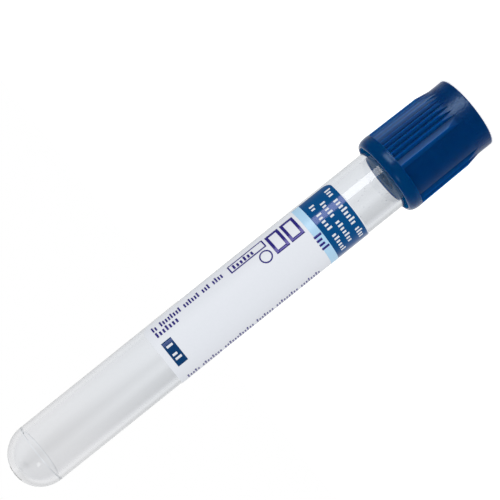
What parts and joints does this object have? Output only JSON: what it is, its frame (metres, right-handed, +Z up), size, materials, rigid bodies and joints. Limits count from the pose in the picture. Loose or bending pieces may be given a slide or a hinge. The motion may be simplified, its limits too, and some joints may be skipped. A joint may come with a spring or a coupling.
{
  "type": "blood collection tube",
  "caption": "Clear round-bottomed sample tube with a wrapped label, a rubber stopper and a ribbed pull-off closure.",
  "frame": {"origin": "centre of the closure's flat top ring, which the part stands on", "axes": "+Z up along the tube towards its round end; the label's clear strip opens towards +X"},
  "size_m": [0.017, 0.017, 0.1122],
  "materials": {
    "shield_plastic": "satin, with polished bead",
    "stopper_rubber": "matt",
    "tube_plastic": "clear, polished",
    "label_film": "satin",
    "navy_ink": "satin",
    "pale_ink": "satin"
  },
  "bodies": {
    "closure": {"closure_shield": "shield_plastic"},
    "stopper": {"stopper": "stopper_rubber"},
    "labelled_tube": {"tube": "tube_plastic", "label": "label_film", "label_navy_header": "navy_ink", "label_pale_band": "pale_ink", "label_navy_box": "navy_ink"}
  },
  "joints": [
    {"name": "twist", "type": "hinge", "parent": "closure", "child": "stopper", "pos_m": [0, 0, 0.012], "axis": [0, 0, 1], "continuous": true},
    {"name": "pull_off", "type": "slide", "parent": "stopper", "child": "labelled_tube", "axis": [0, 0, 1], "range_m": [0, 0.025]}
  ]
}
